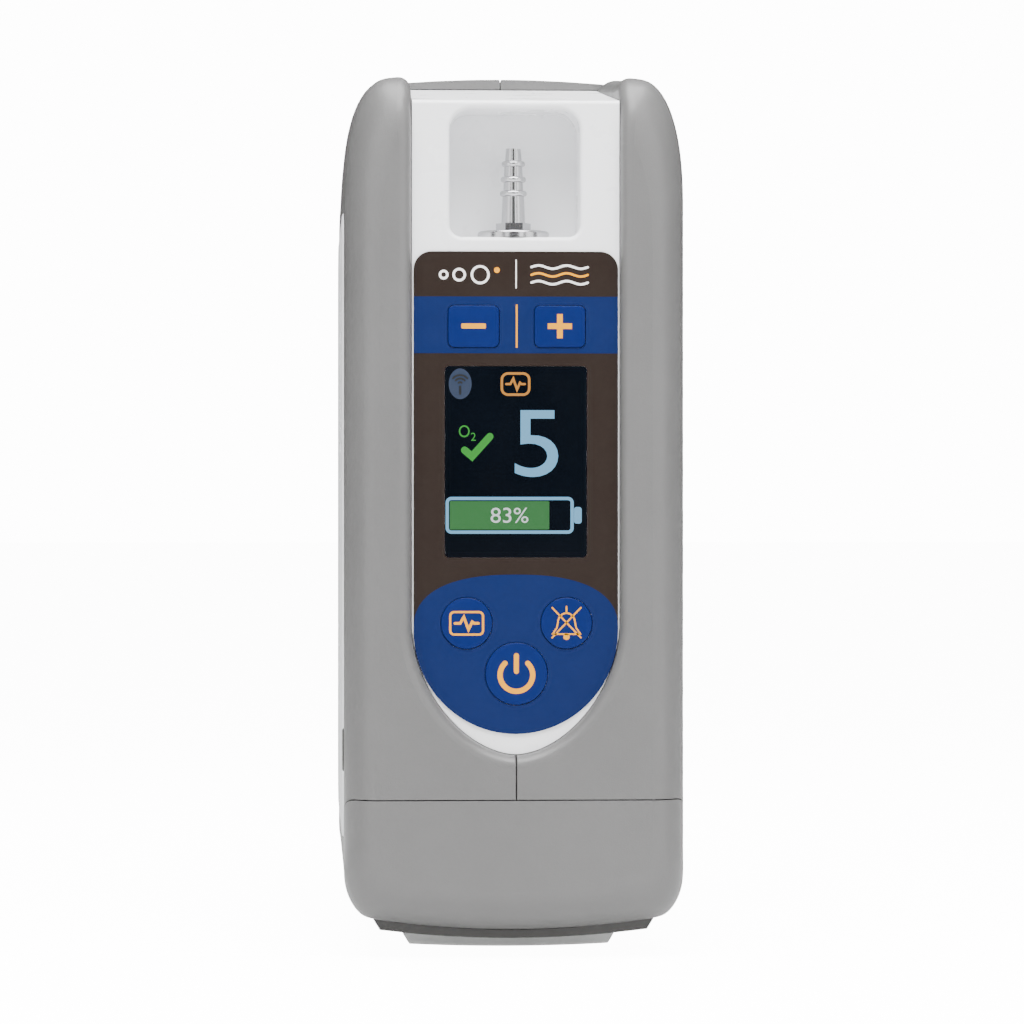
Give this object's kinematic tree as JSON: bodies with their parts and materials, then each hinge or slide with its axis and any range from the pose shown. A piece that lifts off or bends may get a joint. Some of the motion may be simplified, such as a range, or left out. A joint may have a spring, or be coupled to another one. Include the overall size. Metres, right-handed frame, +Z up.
{
  "type": "portable oxygen concentrator",
  "caption": "Narrow upright portable oxygen concentrator with a keypad and display front, a recessed barbed outlet, side panels and a slide-out battery base.",
  "frame": {"origin": "on the standing surface, under the middle of the object's bounding box", "axes": "+X to the right of someone facing the control panel, which faces -Y; +Z up"},
  "size_m": [0.0889, 0.214, 0.2352],
  "materials": {
    "housing_grey": "fine matt texture",
    "panel_white": "fine matt texture",
    "bezel_white": "semi-gloss",
    "keypad_film": "satin printed film",
    "display_glass": "smooth",
    "key_blue": "satin",
    "fitting_metal": "turned and plated",
    "base_dark": "matt",
    "foot_light": "matt",
    "inner_plastic": "matt",
    "circuit_board": "solder mask",
    "component_black": "matt",
    "hose_clear": "satin",
    "mount_rubber": "matt",
    "steel": "machined",
    "light_alloy": "cast and machined",
    "cell_wrap": "shrink-wrapped cells",
    "filter_foam": "open foam",
    "copper": "drawn tube"
  },
  "bodies": {
    "housing": {"left_shell": "housing_grey", "right_shell": "housing_grey", "left_panel": "panel_white", "right_panel": "panel_white", "bezel": "bezel_white", "keypad_overlay": "keypad_film", "display_window": "display_glass", "outlet_fitting": "fitting_metal", "outlet_nut": "steel", "base_pan": "base_dark", "foot_plate": "foot_light", "housing_screws": "steel", "latch_spring": "steel", "dc_jack": "component_black", "bay_connector": "component_black", "power_board": "circuit_board", "chassis_tray": "inner_plastic", "main_board": "circuit_board", "board_components": "component_black", "keypad_board": "circuit_board", "key_switches": "component_black", "display_module": "component_black", "conserver_valve": "component_black", "compressor_crankcase": "light_alloy", "compressor_cylinders": "light_alloy", "cylinder_heads": "light_alloy", "motor_stator": "steel", "vibration_mounts": "mount_rubber", "sieve_beds": "light_alloy", "bed_caps": "inner_plastic", "valve_manifold": "inner_plastic", "solenoid_valves": "component_black", "product_tank": "light_alloy", "hepa_filter": "inner_plastic", "cooling_coil": "copper", "outlet_tube": "hose_clear", "intake_hose": "hose_clear", "feed_hose": "hose_clear", "product_hose": "hose_clear", "cooled_feed_hose": "hose_clear", "fan_frame": "inner_plastic", "intake_foam": "filter_foam"},
    "battery": {"battery_cap": "housing_grey", "battery_case": "inner_plastic", "battery_lid": "inner_plastic", "battery_cells": "cell_wrap", "battery_board": "circuit_board", "battery_terminals": "component_black"},
    "latch": {"latch_button": "base_dark"},
    "filter_door": {"filter_door": "panel_white"},
    "key_minus": {"button_minus": "key_blue"},
    "key_plus": {"button_plus": "key_blue"},
    "key_mode": {"button_mode": "key_blue"},
    "key_mute": {"button_mute": "key_blue"},
    "key_power": {"button_power": "key_blue"},
    "fan": {"fan_rotor": "inner_plastic"},
    "crank": {"crank_rotor": "steel"},
    "front_rod": {"front_piston": "light_alloy"},
    "rear_rod": {"rear_piston": "light_alloy"}
  },
  "joints": [
    {"name": "battery_slide", "type": "slide", "parent": "housing", "child": "battery", "axis": [0, -1, 0], "range_m": [0, 0.18]},
    {"name": "latch_press", "type": "slide", "parent": "housing", "child": "latch", "axis": [1, 0, 0], "range_m": [0, 0.002], "stiffness_N_per_m": 600, "deforming": ["latch_spring"]},
    {"name": "filter_door_hinge", "type": "hinge", "parent": "housing", "child": "filter_door", "pos_m": [-0.0434, -0.014, 0.125], "axis": [0, -1, 0], "range_deg": [0, 105]},
    {"name": "minus_press", "type": "slide", "parent": "housing", "child": "key_minus", "axis": [0, 1, 0], "range_m": [0, 0.0006], "stiffness_N_per_m": 900},
    {"name": "plus_press", "type": "slide", "parent": "housing", "child": "key_plus", "axis": [0, 1, 0], "range_m": [0, 0.0006], "stiffness_N_per_m": 900},
    {"name": "mode_press", "type": "slide", "parent": "housing", "child": "key_mode", "axis": [0, 1, 0], "range_m": [0, 0.0006], "stiffness_N_per_m": 900},
    {"name": "mute_press", "type": "slide", "parent": "housing", "child": "key_mute", "axis": [0, 1, 0], "range_m": [0, 0.0006], "stiffness_N_per_m": 900},
    {"name": "power_press", "type": "slide", "parent": "housing", "child": "key_power", "axis": [0, 1, 0], "range_m": [0, 0.0006], "stiffness_N_per_m": 900},
    {"name": "fan_spin", "type": "hinge", "parent": "housing", "child": "fan", "pos_m": [0.0338, -0.014, 0.154], "axis": [1, 0, 0], "continuous": true},
    {"name": "crank_spin", "type": "hinge", "parent": "housing", "child": "crank", "pos_m": [0, 0, 0.086], "axis": [1, 0, 0], "continuous": true},
    {"name": "front_rod_turn", "type": "hinge", "parent": "crank", "child": "front_rod", "pos_m": [-0.002, 0.0025, 0.086], "axis": [1, 0, 0], "continuous": true},
    {"name": "rear_rod_turn", "type": "hinge", "parent": "crank", "child": "rear_rod", "pos_m": [0.006, 0.0025, 0.086], "axis": [1, 0, 0], "continuous": true}
  ],
  "couplings": [
    {"joint": "front_rod_turn", "follows": "crank_spin", "ratio": -1},
    {"joint": "rear_rod_turn", "follows": "crank_spin", "ratio": -1}
  ]
}
